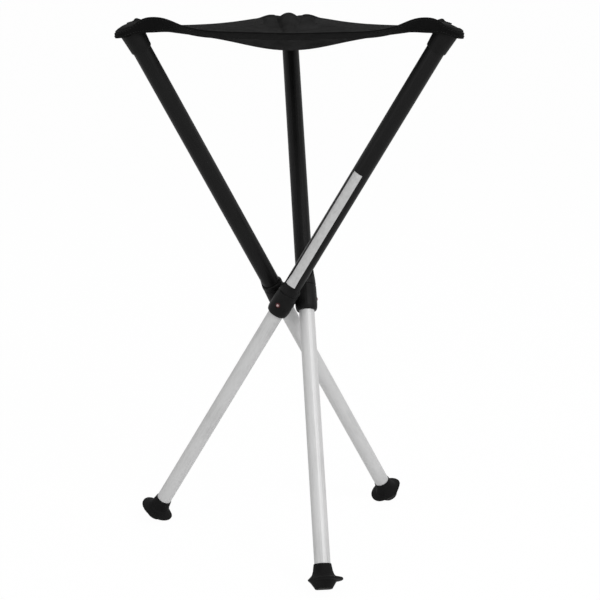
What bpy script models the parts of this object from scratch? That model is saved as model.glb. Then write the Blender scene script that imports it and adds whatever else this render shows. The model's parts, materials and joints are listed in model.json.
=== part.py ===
"""Folding tripod stool with telescopic legs and a three-cornered mesh seat.

Metres, +Z up. The three legs cross beside a small hub. Each one turns about a
pin that points straight out from the hub, so all three fold together into a
bundle. The model ends up with its origin under the middle of its outline, on
the floor that the feet stand on.
"""

import math

import bmesh
import bpy
from mathutils import Matrix, Vector

# Layout of the legs
LEG_COUNT = 3
LEG_TILT = math.radians(31.5)  # from upright, with the seat stretched
LEG_OFFSET = 0.0240  # hub axis to leg axis, where they pass
UPPER_REACH = 0.4170  # hub centre to the lower edge of the seat collar
LOWER_REACH = 0.3745  # hub centre to the top of the rubber foot
TELESCOPE_OVERLAP = 0.0450  # lower tube above the hub centre, pulled out
GAP = 0.0003  # between touching pieces

# Tubes
UPPER_RADIUS = 0.0125
UPPER_WALL = 0.0012
LOWER_RADIUS = 0.0110
LOWER_WALL = 0.0011

# Knuckle, the moulded housing round each leg at the hub
KNUCKLE_RADIUS = 0.0158
KNUCKLE_BELOW_HUB = 0.0172
KNUCKLE_GROOVE_HEIGHT = 0.0198
KNUCKLE_GROOVE_WIDTH = 0.0012
KNUCKLE_GROOVE_DEPTH = 0.0010
KNUCKLE_COLLAR_RADIUS = 0.0149
KNUCKLE_COLLAR_TOP = 0.0270
KNUCKLE_TONGUE = 0.0190  # how much higher the collar reaches on its outer side
KNUCKLE_TONGUE_EDGE = 0.0002  # thickness at the tip of the tongue
KNUCKLE_LIP = 0.0030  # guide lip round the lower tube
KNUCKLE_ROUNDING = 0.0050

# Pivot
HUB_FACE = 0.0059  # hub centre to each flat that carries a leg
HUB_CORNER = 0.0105
HUB_HALF_HEIGHT = 0.0080
BOSS_RADIUS = 0.0065
WASHER_THICKNESS = 0.0006
WASHER_RADIUS = 0.0055
PIN_RADIUS = 0.0027
PIN_HEAD_RADIUS = 0.0044
PIN_HEAD_THICKNESS = 0.0012
PIN_ROOT = 0.0024  # where the pin ends inside the hub

# Lock button on the outer side of each knuckle
BEZEL_RADIUS = 0.0036
BEZEL_PROUD = 0.0001
BUTTON_RADIUS = 0.0018
BUTTON_PROUD = 0.0012
BUTTON_FLANGE_RADIUS = 0.0026
BUTTON_FLANGE_THICKNESS = 0.0006
BUTTON_TRAVEL = 0.0020
SNAP_PIN_RADIUS = 0.0019
SNAP_LEAF_WIDTH = 0.0060
SNAP_LEAF_THICKNESS = 0.0006
SNAP_LEAF_LENGTH = 0.0220
SNAP_LEAF_TOP = 0.0070

# Plug at the top of the lower tube
PLUG_DEPTH = 0.0150
PLUG_FLANGE = 0.0022
PLUG_VENT_RADIUS = 0.0020

# Rubber foot
FOOT_LENGTH = 0.0330
FOOT_SOCKET = 0.0200
FOOT_COLLAR_RADIUS = 0.0120
FOOT_CONE_RADIUS = 0.0152
BRIM_DEPTH = 0.0192  # collar top to the upper edge of the brim
BRIM_EDGE = 0.0030
BRIM_ROUNDING = 0.0009
BRIM_RADIUS = 0.0250
BRIM_SHIFT = 0.0018
BRIM_INNER_REACH = 0.0224
BRIM_BLEND = 14  # how tightly the brim follows its flats
BRIM_CLEARANCE = 0.0004  # to the foot beside it when the legs are folded
SOLE_RADIUS = 0.0117
SOLE_WEAR = 0.0015  # how far the floor cuts into the lowest edge

# Seat collar and domed cap at the top of each leg
COLLAR_LENGTH = 0.0280
COLLAR_FOOT_RADIUS = 0.0140
COLLAR_TOP_RADIUS = 0.0158
CAP_RISE = 0.0115  # collar top to cap top
CAP_RADIUS = 0.0155
CAP_LIP = 0.0060  # how much further the lip reaches on the outer side
CAP_LIP_DROOP = 0.0042  # and how much lower it lies there
CAP_LIP_DEPTH = 0.0061  # cap top to the underside of the lip, on the seat's side
CAP_SPIGOT_LENGTH = 0.0180

# Seat edge, a flat sewn band
BAND_HALF_WIDTH = 0.0090
BAND_THICKNESS = 0.0020
BAND_TIP_HALF_WIDTH = 0.0016
BAND_TIP_START = 0.0140  # outward of the leg's axis, where the band is narrowest
BAND_TIP_LENGTH = 0.0400
BAND_DIP_START = 0.0230  # and where it lies lowest
BAND_DIP_LENGTH = 0.0400
BAND_CLEARANCE = 0.0005
BAND_MIDDLE_TILT = math.radians(36.0)
BAND_CORNER_RISE = 0.0310  # band centre near a corner, above the collar foot
BAND_MIDDLE_RISE = 0.0184
BAND_TIP_RISE = 0.0128
BAND_FALL_START = 0.0230  # inward of the leg, where the band starts to come down
BAND_FALL_LENGTH = 0.0560
BAND_TILT_START = 0.0160
BAND_TILT_LENGTH = 0.0360
EDGE_TURN = math.radians(21.8)  # band direction at a corner, off the inward line
LOOP_STRAIGHT = 0.0110
LOOP_REFERENCE_RISE = 0.0250

# Seat mesh
MESH_THICKNESS = 0.0016
MESH_RIM_RISE = 0.0130  # level that the mesh leaves the middle of its edges at
MESH_SAG = 0.0195
MESH_SAG_POWER = 2.6  # larger keeps the sag nearer the middle
MESH_CORNER_POWER = 3.0  # larger keeps the rise nearer the corners
MESH_RINGS = 6

# Label plate on the third leg
LABEL_START = 0.0345
LABEL_LENGTH = 0.1890
LABEL_WIDTH = 0.0135
LABEL_THICKNESS = 0.0004

# Smoothness
ROUND = 28
SMALL_ROUND = 16
SHARP_ANGLE = math.radians(35.0)

UP = Vector((0.0, 0.0, 1.0))
KNUCKLE_BORE = UPPER_RADIUS + GAP
COLLAR_FOOT_HEIGHT = UPPER_REACH * math.cos(LEG_TILT)
TUBE_TOP = UPPER_REACH + COLLAR_LENGTH
BAND_RADIUS = COLLAR_TOP_RADIUS + BAND_CLEARANCE + BAND_THICKNESS / 2


def clear_scene():
    for item in list(bpy.data.objects):
        bpy.data.objects.remove(item)


def make_material(name, colour, roughness, metallic=0.0):
    material = bpy.data.materials.new(name)
    material.use_nodes = True
    shader = material.node_tree.nodes["Principled BSDF"]
    shader.inputs["Base Color"].default_value = (*colour, 1.0)
    shader.inputs["Roughness"].default_value = roughness
    shader.inputs["Metallic"].default_value = metallic
    return material


def make_materials():
    return {
        "black_tube": make_material("black_tube", (0.018, 0.018, 0.019), 0.45),
        "black_plastic": make_material("black_plastic", (0.020, 0.020, 0.021), 0.5),
        "silver_tube": make_material("silver_tube", (0.60, 0.61, 0.62), 0.35, 0.9),
        "rubber": make_material("rubber", (0.016, 0.016, 0.016), 0.8),
        "steel": make_material("steel", (0.55, 0.55, 0.56), 0.3, 1.0),
        "nylon": make_material("nylon", (0.05, 0.05, 0.05), 0.55),
        "red_plastic": make_material("red_plastic", (0.35, 0.02, 0.03), 0.4),
        "webbing": make_material("webbing", (0.012, 0.012, 0.013), 0.9),
        "seat_mesh": make_material("seat_mesh", (0.025, 0.025, 0.027), 0.95),
        "label": make_material("label", (0.62, 0.63, 0.63), 0.35, 0.6),
    }


def smooth(value):
    value = min(1.0, max(0.0, value))
    return value * value * (3.0 - 2.0 * value)


def new_empty(name, parent, matrix):
    empty = bpy.data.objects.new(name, None)
    bpy.context.collection.objects.link(empty)
    empty.parent = parent
    empty.matrix_local = matrix
    return empty


def new_object(name, mesh, parent, material=None, location=(0, 0, 0), rotation=(0, 0, 0)):
    item = bpy.data.objects.new(name, mesh)
    bpy.context.collection.objects.link(item)
    item.parent = parent
    item.location = location
    item.rotation_euler = rotation
    if material is not None and not mesh.materials:
        mesh.materials.append(material)
    return item


def finish_mesh(name, work):
    bmesh.ops.recalc_face_normals(work, faces=work.faces)
    mesh = bpy.data.meshes.new(name)
    work.to_mesh(mesh)
    work.free()
    mesh.shade_smooth()
    mesh.set_sharp_from_angle(angle=SHARP_ANGLE)
    return mesh


def turned(name, rings, hollow, steps=ROUND, lobe=None):
    """A body of rings about local Z. A ring is (radius, height), with two more
    numbers for what the lobe adds to each. Rings run along the outline, and a
    hollow body's last ring joins its first."""
    work = bmesh.new()
    loops = []
    for ring in rings:
        radius, height, more_radius, more_height = (*ring, 0.0, 0.0)[:4]
        loop = []
        for step in range(steps):
            angle = 2.0 * math.pi * step / steps
            share = lobe(angle) if lobe else 0.0
            r = radius + share * more_radius
            z = height + share * more_height
            loop.append(work.verts.new((r * math.cos(angle), r * math.sin(angle), z)))
        loops.append(loop)
    pairs = list(zip(loops, loops[1:]))
    if hollow:
        pairs.append((loops[-1], loops[0]))
    for first, second in pairs:
        for step in range(steps):
            after = (step + 1) % steps
            work.faces.new((first[step], first[after], second[after], second[step]))
    if not hollow:
        work.faces.new(loops[0])
        work.faces.new(loops[-1])
    return finish_mesh(name, work)


def ribbon(name, stations):
    """A closed band through stations that have the same number of corners."""
    work = bmesh.new()
    loops = [[work.verts.new(corner) for corner in station] for station in stations]
    for first, second in zip(loops, loops[1:]):
        for step in range(len(first)):
            after = (step + 1) % len(first)
            work.faces.new((first[step], first[after], second[after], second[step]))
    work.faces.new(loops[0])
    work.faces.new(loops[-1])
    return finish_mesh(name, work)


def prism(name, outline, low, high):
    """An outline in local X and Y, raised from low to high."""
    work = bmesh.new()
    floor = [work.verts.new((x, y, low)) for x, y in outline]
    roof = [work.verts.new((x, y, high)) for x, y in outline]
    work.faces.new(floor)
    work.faces.new(roof)
    for step in range(len(outline)):
        after = (step + 1) % len(outline)
        work.faces.new((floor[step], floor[after], roof[after], roof[step]))
    return finish_mesh(name, work)


def rod(name, radius, low, high, steps=SMALL_ROUND):
    return turned(name, [(radius, high), (radius, low)], hollow=False, steps=steps)


def along_x(name, mesh, leg, material=None):
    """Places a body made about Z so that its axis points out from the hub."""
    return new_object(name, mesh, leg, material, rotation=(0.0, math.pi / 2, 0.0))


def cut(item, cutter, operation="DIFFERENCE"):
    cutter.hide_render = True
    cutter.display_type = "WIRE"
    modifier = item.modifiers.new(cutter.name, "BOOLEAN")
    modifier.operation = operation
    modifier.solver = "EXACT"
    modifier.object = cutter


# Leg pieces. A leg's frame has its origin at the hub centre, X out along its
# pivot and Z up along the tube, whose axis is LEG_OFFSET out along X.


def upper_tube_mesh():
    inner = UPPER_RADIUS - UPPER_WALL
    bottom = KNUCKLE_LIP + GAP - KNUCKLE_BELOW_HUB
    rings = [(UPPER_RADIUS, TUBE_TOP), (UPPER_RADIUS, bottom), (inner, bottom), (inner, TUBE_TOP)]
    return turned("upper_tube", rings, hollow=True)


def lower_tube_mesh():
    inner = LOWER_RADIUS - LOWER_WALL
    bottom = -LOWER_REACH - FOOT_SOCKET
    top = TELESCOPE_OVERLAP
    rings = [(LOWER_RADIUS, top), (LOWER_RADIUS, bottom), (inner, bottom), (inner, top)]
    return turned("lower_tube", rings, hollow=True)


def outer_side(angle):
    """One on the side of a leg that faces away from the hub, less to each side."""
    return max(0.0, math.cos(angle)) ** 3


def away_from_seat(angle):
    """One towards the side of a leg top that faces away from the seat."""
    return max(0.0, math.sin(angle)) ** 2


def knuckle_mesh():
    body = KNUCKLE_RADIUS
    collar = KNUCKLE_COLLAR_RADIUS
    bottom = -KNUCKLE_BELOW_HUB
    groove = KNUCKLE_GROOVE_HEIGHT
    half = KNUCKLE_GROOVE_WIDTH / 2
    floor = collar - KNUCKLE_GROOVE_DEPTH
    guide = LOWER_RADIUS + GAP
    extra = body - collar
    slope = (body + collar) / 2
    edge = KNUCKLE_BORE + (collar - KNUCKLE_BORE) * 0.6
    to_tip = KNUCKLE_BORE + KNUCKLE_TONGUE_EDGE - edge
    rings = [
        (edge, KNUCKLE_COLLAR_TOP, to_tip, KNUCKLE_TONGUE),
        (collar, KNUCKLE_COLLAR_TOP - 0.0010, 0.0, 0.0020),
        (collar, groove + half + 0.0007, extra * 0.5, 0.0),
        (floor, groove + half, extra * 0.5, 0.0),
        (floor, groove - half, extra * 0.5, 0.0),
        (collar, groove - half - 0.0007, extra * 0.7, 0.0),
        (slope, (groove + half) * 0.55, extra * 0.4, 0.0),
        (body, 0.0040),
        (body, bottom + KNUCKLE_ROUNDING * 1.9),
    ]
    for step in range(1, 4):
        angle = math.pi / 2 * step / 3
        sink = KNUCKLE_ROUNDING * 1.9 * (1.0 - math.sin(angle))
        pull = (body - guide - 0.0016) * (1.0 - math.cos(angle))
        rings.append((body - pull, bottom + sink))
    rings += [
        (guide, bottom),
        (guide, bottom + KNUCKLE_LIP),
        (KNUCKLE_BORE, bottom + KNUCKLE_LIP),
        (KNUCKLE_BORE, KNUCKLE_COLLAR_TOP, 0.0, KNUCKLE_TONGUE),
    ]
    return turned("knuckle", rings, hollow=True, lobe=outer_side)


def bezel_mesh():
    face = LEG_OFFSET + KNUCKLE_RADIUS + BEZEL_PROUD
    back = LEG_OFFSET + KNUCKLE_BORE + GAP
    shoulder = button_flange_outer() + GAP
    bore = BUTTON_RADIUS + GAP
    wide = BUTTON_FLANGE_RADIUS + GAP
    rings = [
        (BEZEL_RADIUS - 0.0004, face),
        (BEZEL_RADIUS, face - 0.0004),
        (BEZEL_RADIUS, back),
        (wide, back),
        (wide, shoulder),
        (bore, shoulder),
        (bore, face - 0.0003),
        (bore + 0.0003, face),
    ]
    return turned("button_bezel", rings, hollow=True, steps=SMALL_ROUND)


def button_flange_outer():
    """Outer face of the button's flange: its inner face still clears the lower
    tube when the button is pushed in."""
    flange_inner = LEG_OFFSET + LOWER_RADIUS + 2 * GAP + BUTTON_TRAVEL
    return flange_inner + BUTTON_FLANGE_THICKNESS


def button_mesh():
    face = LEG_OFFSET + KNUCKLE_RADIUS + BUTTON_PROUD
    outer = button_flange_outer()
    rings = [
        (BUTTON_RADIUS * 0.45, face),
        (BUTTON_RADIUS * 0.8, face - BUTTON_RADIUS * 0.12),
        (BUTTON_RADIUS, face - BUTTON_RADIUS * 0.4),
        (BUTTON_RADIUS, outer),
        (BUTTON_FLANGE_RADIUS, outer),
        (BUTTON_FLANGE_RADIUS, outer - BUTTON_FLANGE_THICKNESS),
    ]
    return turned("lock_button", rings, hollow=False, steps=SMALL_ROUND)


def pin_mesh():
    head_outer = LEG_OFFSET - KNUCKLE_BORE
    head_inner = head_outer - PIN_HEAD_THICKNESS
    rings = [
        (PIN_HEAD_RADIUS, head_outer),
        (PIN_HEAD_RADIUS, head_inner),
        (PIN_RADIUS, head_inner),
        (PIN_RADIUS, PIN_ROOT),
    ]
    return turned("pivot_pin", rings, hollow=False, steps=SMALL_ROUND)


def washer_mesh():
    low = HUB_FACE + GAP
    high = low + WASHER_THICKNESS
    bore = PIN_RADIUS + GAP
    rings = [(WASHER_RADIUS, high), (WASHER_RADIUS, low), (bore, low), (bore, high)]
    return turned("pivot_washer", rings, hollow=True, steps=SMALL_ROUND)


def hub_mesh():
    half = math.sqrt(HUB_CORNER**2 - HUB_FACE**2)
    outline = []
    for leg in range(LEG_COUNT):
        turn = Matrix.Rotation(2.0 * math.pi * leg / LEG_COUNT, 2)
        outline += [tuple(turn @ Vector((HUB_FACE, side * half))) for side in (-1, 1)]
    return prism("hub_block", outline, -HUB_HALF_HEIGHT, HUB_HALF_HEIGHT)


def plug_mesh():
    body = LOWER_RADIUS - LOWER_WALL - GAP
    top = TELESCOPE_OVERLAP + GAP + PLUG_FLANGE
    seat = TELESCOPE_OVERLAP + GAP
    rings = [
        (LOWER_RADIUS - 0.0006, top),
        (LOWER_RADIUS - GAP, top - 0.0006),
        (LOWER_RADIUS - GAP, seat),
        (body, seat),
        (body, TELESCOPE_OVERLAP - PLUG_DEPTH),
        (PLUG_VENT_RADIUS, TELESCOPE_OVERLAP - PLUG_DEPTH),
        (PLUG_VENT_RADIUS, top),
    ]
    return turned("tube_plug", rings, hollow=True, steps=SMALL_ROUND)


def snap_spring_mesh():
    """A leaf bent into a U inside the lower tube, drawn in X and Z."""
    half = SNAP_LEAF_THICKNESS / 2
    inside = LOWER_RADIUS - LOWER_WALL
    reach = math.sqrt(inside**2 - (SNAP_LEAF_WIDTH / 2) ** 2) - GAP - half
    front = reach - 0.0015
    middle = (front - reach) / 2
    radius = (front + reach) / 2
    low = SNAP_LEAF_TOP - SNAP_LEAF_LENGTH - radius
    line = [(front, SNAP_LEAF_TOP, 1.0, 0.0)]
    for step in range(13):
        angle = -math.pi * step / 12
        out = (math.cos(angle), math.sin(angle))
        line.append((middle + radius * out[0], low + radius * out[1], *out))
    line.append((-reach, low + SNAP_LEAF_LENGTH * 0.7, -1.0, 0.0))
    outer = [(x + half * nx, z + half * nz) for x, z, nx, nz in line]
    inner = [(x - half * nx, z - half * nz) for x, z, nx, nz in line]
    outline = outer + inner[::-1]
    return prism("snap_spring", outline, -SNAP_LEAF_WIDTH / 2, SNAP_LEAF_WIDTH / 2), front


def foot_brim(angle):
    """Brim radius round the foot. Two sides stay inside the third of a turn
    that each leg has to itself when the stool is folded."""
    across = BRIM_SHIFT * math.sin(angle)
    limits = [BRIM_SHIFT * math.cos(angle) + math.sqrt(BRIM_RADIUS**2 - across**2)]
    side = LEG_OFFSET * math.sin(math.pi / LEG_COUNT) - BRIM_CLEARANCE
    half_share = math.pi / 2 + math.pi / LEG_COUNT
    for facing, reach in ((half_share, side), (-half_share, side), (math.pi, BRIM_INNER_REACH)):
        towards = math.cos(angle - facing)
        if towards > 0.1:
            limits.append(reach / towards)
    return sum(limit**-BRIM_BLEND for limit in limits) ** (-1.0 / BRIM_BLEND)


def foot_mesh(hub_height):
    top = -LOWER_REACH
    bore = LOWER_RADIUS + GAP
    sole = top - FOOT_LENGTH
    brim = top - BRIM_DEPTH
    under = brim - BRIM_EDGE
    fixed = [
        (bore, top - FOOT_SOCKET - GAP),
        (bore, top),
        (FOOT_COLLAR_RADIUS, top),
        (FOOT_COLLAR_RADIUS + (FOOT_CONE_RADIUS - FOOT_COLLAR_RADIUS) * 0.5, top - BRIM_DEPTH * 0.5),
        (FOOT_CONE_RADIUS, top - BRIM_DEPTH * 0.75),
        (FOOT_CONE_RADIUS + 0.0024, top - BRIM_DEPTH * 0.89),
    ]
    lower = [
        (FOOT_CONE_RADIUS + 0.0034, under - 0.0009),
        (FOOT_CONE_RADIUS + 0.0016, under - 0.0030),
        (SOLE_RADIUS + 0.0019, sole + 0.0030),
        (SOLE_RADIUS, sole),
    ]
    work = bmesh.new()
    loops = []

    def add_loop(radius_at, height):
        loop = []
        for step in range(ROUND):
            angle = 2.0 * math.pi * step / ROUND
            r = radius_at(angle)
            loop.append(work.verts.new((r * math.cos(angle), r * math.sin(angle), height)))
        loops.append(loop)

    for radius, height in fixed:
        add_loop(lambda angle, r=radius: r, height)
    add_loop(lambda angle: foot_brim(angle) - BRIM_ROUNDING, brim)
    add_loop(foot_brim, brim - BRIM_ROUNDING)
    add_loop(foot_brim, under + BRIM_ROUNDING)
    add_loop(lambda angle: foot_brim(angle) - BRIM_ROUNDING, under)
    for radius, height in lower:
        add_loop(lambda angle, r=radius: r, height)
    for first, second in zip(loops, loops[1:]):
        for step in range(ROUND):
            after = (step + 1) % ROUND
            work.faces.new((first[step], first[after], second[after], second[step]))
    work.faces.new(loops[0])
    work.faces.new(loops[-1])
    to_leg = Matrix.Rotation(-LEG_TILT, 4, "X")
    floor_point = to_leg.inverted() @ Vector((0.0, 0.0, -hub_height))
    floor_normal = to_leg.inverted().to_3x3() @ -UP
    sliced = bmesh.ops.bisect_plane(
        work,
        geom=work.verts[:] + work.edges[:] + work.faces[:],
        plane_co=floor_point,
        plane_no=floor_normal,
        clear_outer=True,
    )
    edges = [part for part in sliced["geom_cut"] if isinstance(part, bmesh.types.BMEdge)]
    bmesh.ops.holes_fill(work, edges=edges)
    return finish_mesh("foot", work)


def hub_height():
    """Hub centre above the floor, with each sole worn flat by SOLE_WEAR."""
    down = (LOWER_REACH + FOOT_LENGTH) * math.cos(LEG_TILT)
    edge = SOLE_RADIUS * math.sin(LEG_TILT)
    return down + edge - SOLE_WEAR


def collar_mesh():
    low = UPPER_REACH
    high = TUBE_TOP
    bore = UPPER_RADIUS + GAP
    rings = [
        (COLLAR_TOP_RADIUS - 0.0005, high),
        (COLLAR_TOP_RADIUS, high - 0.0006),
        (COLLAR_FOOT_RADIUS, low + 0.0010),
        (COLLAR_FOOT_RADIUS - 0.0005, low),
        (bore, low),
        (bore, high),
    ]
    return turned("seat_collar", rings, hollow=True)


def cap_mesh():
    base = TUBE_TOP + GAP
    top = TUBE_TOP + CAP_RISE
    neck = CAP_RADIUS - 0.0009
    neck_out = COLLAR_TOP_RADIUS - GAP - neck
    spigot = UPPER_RADIUS - UPPER_WALL - GAP
    rings = [
        (CAP_RADIUS * 0.14, top),
        (CAP_RADIUS * 0.52, top - CAP_LIP_DEPTH * 0.08),
        (CAP_RADIUS * 0.80, top - CAP_LIP_DEPTH * 0.26, CAP_LIP * 0.2),
        (CAP_RADIUS * 0.96, top - CAP_LIP_DEPTH * 0.50, CAP_LIP * 0.7, -CAP_LIP_DROOP * 0.25),
        (CAP_RADIUS, top - CAP_LIP_DEPTH * 0.73, CAP_LIP, -CAP_LIP_DROOP * 0.6),
        (CAP_RADIUS - 0.0003, top - CAP_LIP_DEPTH * 0.92, CAP_LIP, -CAP_LIP_DROOP),
        (neck, top - CAP_LIP_DEPTH, neck_out, -CAP_LIP_DROOP),
        (neck, base, neck_out),
        (spigot, base),
        (spigot, base - CAP_SPIGOT_LENGTH),
    ]
    return turned("leg_cap", rings, hollow=False, lobe=away_from_seat)


def label_mesh():
    """A thin strip along the tube. Its lower end lies on the knuckle's tongue."""
    on_tube = UPPER_RADIUS + GAP
    tip_height = KNUCKLE_COLLAR_TOP + KNUCKLE_TONGUE
    on_tip = KNUCKLE_BORE + KNUCKLE_TONGUE_EDGE + GAP
    tongue_start = KNUCKLE_COLLAR_TOP + 0.0010
    slope = (KNUCKLE_COLLAR_RADIUS - KNUCKLE_BORE - KNUCKLE_TONGUE_EDGE) / (tip_height - tongue_start)
    on_tongue = on_tip + slope * max(0.0, tip_height - LABEL_START)
    profile = [(LABEL_START, on_tongue), (LABEL_START + LABEL_LENGTH, on_tube)]
    if LABEL_START < tip_height:
        profile[1:1] = [(tip_height, on_tip), (tip_height + 0.002, on_tube)]
    half = LABEL_WIDTH / 2 / on_tube
    angles = [half * (step / 4 - 1.0) for step in range(9)]
    stations = []
    for height, inner in profile:
        rims = [(inner + LABEL_THICKNESS, angles), (inner, angles[::-1])]
        stations.append([(r * math.cos(a), r * math.sin(a), height) for r, arc in rims for a in arc])
    return ribbon("label_plate", stations)


def cutter_set(leg, name):
    """Tools for the holes of one leg, all about the pivot's axis."""
    bore = PIN_RADIUS + GAP
    head_room = PIN_HEAD_RADIUS + GAP
    boss_face = HUB_FACE + 2 * GAP + WASHER_THICKNESS
    head_inner = LEG_OFFSET - KNUCKLE_BORE - PIN_HEAD_THICKNESS - GAP
    wall = LEG_OFFSET + LOWER_RADIUS
    outside = LEG_OFFSET + KNUCKLE_RADIUS + BUTTON_PROUD
    sizes = {
        "boss": (BOSS_RADIUS, boss_face, LEG_OFFSET - KNUCKLE_BORE - 2 * GAP),
        "pin_bore": (bore, boss_face - 0.001, LEG_OFFSET - UPPER_RADIUS + GAP),
        "head_bore": (head_room, head_inner, LEG_OFFSET - UPPER_RADIUS + GAP),
        "bezel_bore": (BEZEL_RADIUS + GAP, LEG_OFFSET + UPPER_RADIUS, outside),
        "tube_hole": (BUTTON_FLANGE_RADIUS + GAP, wall - UPPER_WALL, outside),
        "snap_hole": (SNAP_PIN_RADIUS + GAP, wall - 2 * LOWER_WALL, outside),
        "hub_bore": (bore, PIN_ROOT - GAP, HUB_FACE + 0.001),
    }
    cutters = {}
    for key, (radius, low, high) in sizes.items():
        mesh = rod(key, radius, low, high, steps=SMALL_ROUND)
        cutters[key] = along_x(f"cutter_{key}_{name}", mesh, leg)
    return cutters


def build_leg(number, root, fold_frame, materials, foot):
    """One leg with everything that rides on it. Returns its hub bore tool."""
    axis = (LEG_OFFSET, 0.0, 0.0)
    slide = new_empty(f"slide_frame_{number}", fold_frame, Matrix.Identity(4))
    cutters = cutter_set(fold_frame, number)

    upper = new_object(f"upper_tube_{number}", upper_tube_mesh(), fold_frame, materials["black_tube"], axis)
    cut(upper, cutters["tube_hole"])

    knuckle = new_object(f"knuckle_{number}", knuckle_mesh(), fold_frame, materials["black_plastic"], axis)
    cut(knuckle, cutters["boss"], "UNION")
    cut(knuckle, cutters["pin_bore"])
    cut(knuckle, cutters["head_bore"])
    cut(knuckle, cutters["bezel_bore"])

    along_x(f"button_bezel_{number}", bezel_mesh(), fold_frame, materials["red_plastic"])
    press = new_empty(f"button_frame_{number}", fold_frame, Matrix.Identity(4))
    along_x(f"lock_button_{number}", button_mesh(), press, materials["steel"])

    new_object(f"seat_collar_{number}", collar_mesh(), fold_frame, materials["black_plastic"], axis)
    new_object(f"leg_cap_{number}", cap_mesh(), fold_frame, materials["black_plastic"], axis)

    lower = new_object(f"lower_tube_{number}", lower_tube_mesh(), slide, materials["silver_tube"], axis)
    cut(lower, cutters["snap_hole"])
    new_object(f"tube_plug_{number}", plug_mesh(), slide, materials["nylon"], axis)
    new_object(f"foot_{number}", foot, slide, materials["rubber"], axis)

    mesh, front = snap_spring_mesh()
    leaf = new_object(f"snap_spring_{number}", mesh, slide, materials["steel"], axis, (math.pi / 2, 0.0, 0.0))
    low = LEG_OFFSET + front
    high = LEG_OFFSET + LOWER_RADIUS
    pin = along_x(f"cutter_snap_pin_{number}", rod("snap_pin", SNAP_PIN_RADIUS, low, high), slide)
    cut(leaf, pin, "UNION")

    hub_frame = new_empty(f"pivot_frame_{number}", root, Matrix.Rotation(leg_azimuth(number), 4, "Z"))
    along_x(f"pivot_pin_{number}", pin_mesh(), hub_frame, materials["steel"])
    along_x(f"pivot_washer_{number}", washer_mesh(), hub_frame, materials["nylon"])
    return cutters["hub_bore"]


def leg_azimuth(number):
    return 2.0 * math.pi * (number - 1) / LEG_COUNT


# Seat. Its points are in the hub's frame, which stays upright.


def leg_axis_at(number, height):
    """Where a leg's axis passes a height above the hub."""
    turn = Matrix.Rotation(leg_azimuth(number), 3, "Z")
    return turn @ Vector((LEG_OFFSET, height * math.tan(LEG_TILT), height))


def corner_frame(number):
    """(outward, sideways) unit vectors of a seat corner, sideways turning left."""
    place = leg_axis_at(number, COLLAR_FOOT_HEIGHT + LOOP_REFERENCE_RISE)
    outward = Vector((place.x, place.y, 0.0)).normalized()
    return outward, UP.cross(outward)


def band_rise(inward):
    """Height of the band's centre above the collar foot. Inward is the distance
    from the leg's axis towards the seat, negative on the far side of it."""
    if inward < BAND_FALL_START:
        share = smooth((inward + BAND_DIP_START) / BAND_DIP_LENGTH)
        return BAND_TIP_RISE + (BAND_CORNER_RISE - BAND_TIP_RISE) * share
    fall = math.exp(-(((inward - BAND_FALL_START) / BAND_FALL_LENGTH) ** 2))
    return BAND_MIDDLE_RISE + (BAND_CORNER_RISE - BAND_MIDDLE_RISE) * fall


def band_half_width(inward):
    share = smooth((inward + BAND_TIP_START) / BAND_TIP_LENGTH)
    return BAND_TIP_HALF_WIDTH + (BAND_HALF_WIDTH - BAND_TIP_HALF_WIDTH) * share


def band_tilt(inward):
    """Upright round the corners, leaning over towards the middle of an edge."""
    share = smooth((inward - BAND_TILT_START) / BAND_TILT_LENGTH)
    return math.pi / 2 + (BAND_MIDDLE_TILT - math.pi / 2) * share


def loop_side(number, side):
    """Stations (place, inward) from a corner's outermost point to the end of its
    loop, where side is 1 for the left edge and -1 for the right one."""
    outward, sideways = corner_frame(number)
    long_radius = BAND_RADIUS / math.cos(LEG_TILT)
    last = math.atan(math.cos(LEG_TILT) / math.tan(EDGE_TURN))
    stations = []
    for step in range(9):
        angle = last * step / 8
        inward = -long_radius * math.cos(angle)
        height = COLLAR_FOOT_HEIGHT + band_rise(inward)
        centre = leg_axis_at(number, height)
        across = side * BAND_RADIUS * math.sin(angle)
        stations.append((centre - outward * inward + sideways * across, inward))
    start, first_inward = stations[-1]
    heading = -outward * math.cos(EDGE_TURN) + sideways * (side * math.sin(EDGE_TURN))
    for step in range(1, 4):
        along = LOOP_STRAIGHT * step / 3
        inward = first_inward + along * math.cos(EDGE_TURN)
        place = start + heading * along
        place.z = COLLAR_FOOT_HEIGHT + band_rise(inward)
        stations.append((place, inward))
    return stations, heading


def band_corners(place, normal, lean, half_width):
    """Four corners of the band's section: normal faces out of the seat, and lean
    runs across the band from its lower edge to its upper one."""
    half = BAND_THICKNESS / 2
    return [
        place + lean * (half_width * up) + normal * (half * out)
        for up, out in ((1, 1), (1, -1), (-1, -1), (-1, 1))
    ]


def loop_mesh(number):
    right, _ = loop_side(number, -1)
    left, _ = loop_side(number, 1)
    path = right[:0:-1] + left
    leg_up = (leg_axis_at(number, 1.0) - leg_axis_at(number, 0.0)).normalized()
    stations = []
    for index, (place, inward) in enumerate(path):
        before = path[max(index - 1, 0)][0]
        after = path[min(index + 1, len(path) - 1)][0]
        heading = after - before
        heading.z = 0.0
        upright = smooth((inward + 0.020) / 0.024)
        lean = (leg_up * (1.0 - upright) + UP * upright).normalized()
        normal = heading.cross(lean).normalized()
        stations.append(band_corners(place, normal, lean, band_half_width(inward)))
    return ribbon(f"corner_loop_{number}", stations)


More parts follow.
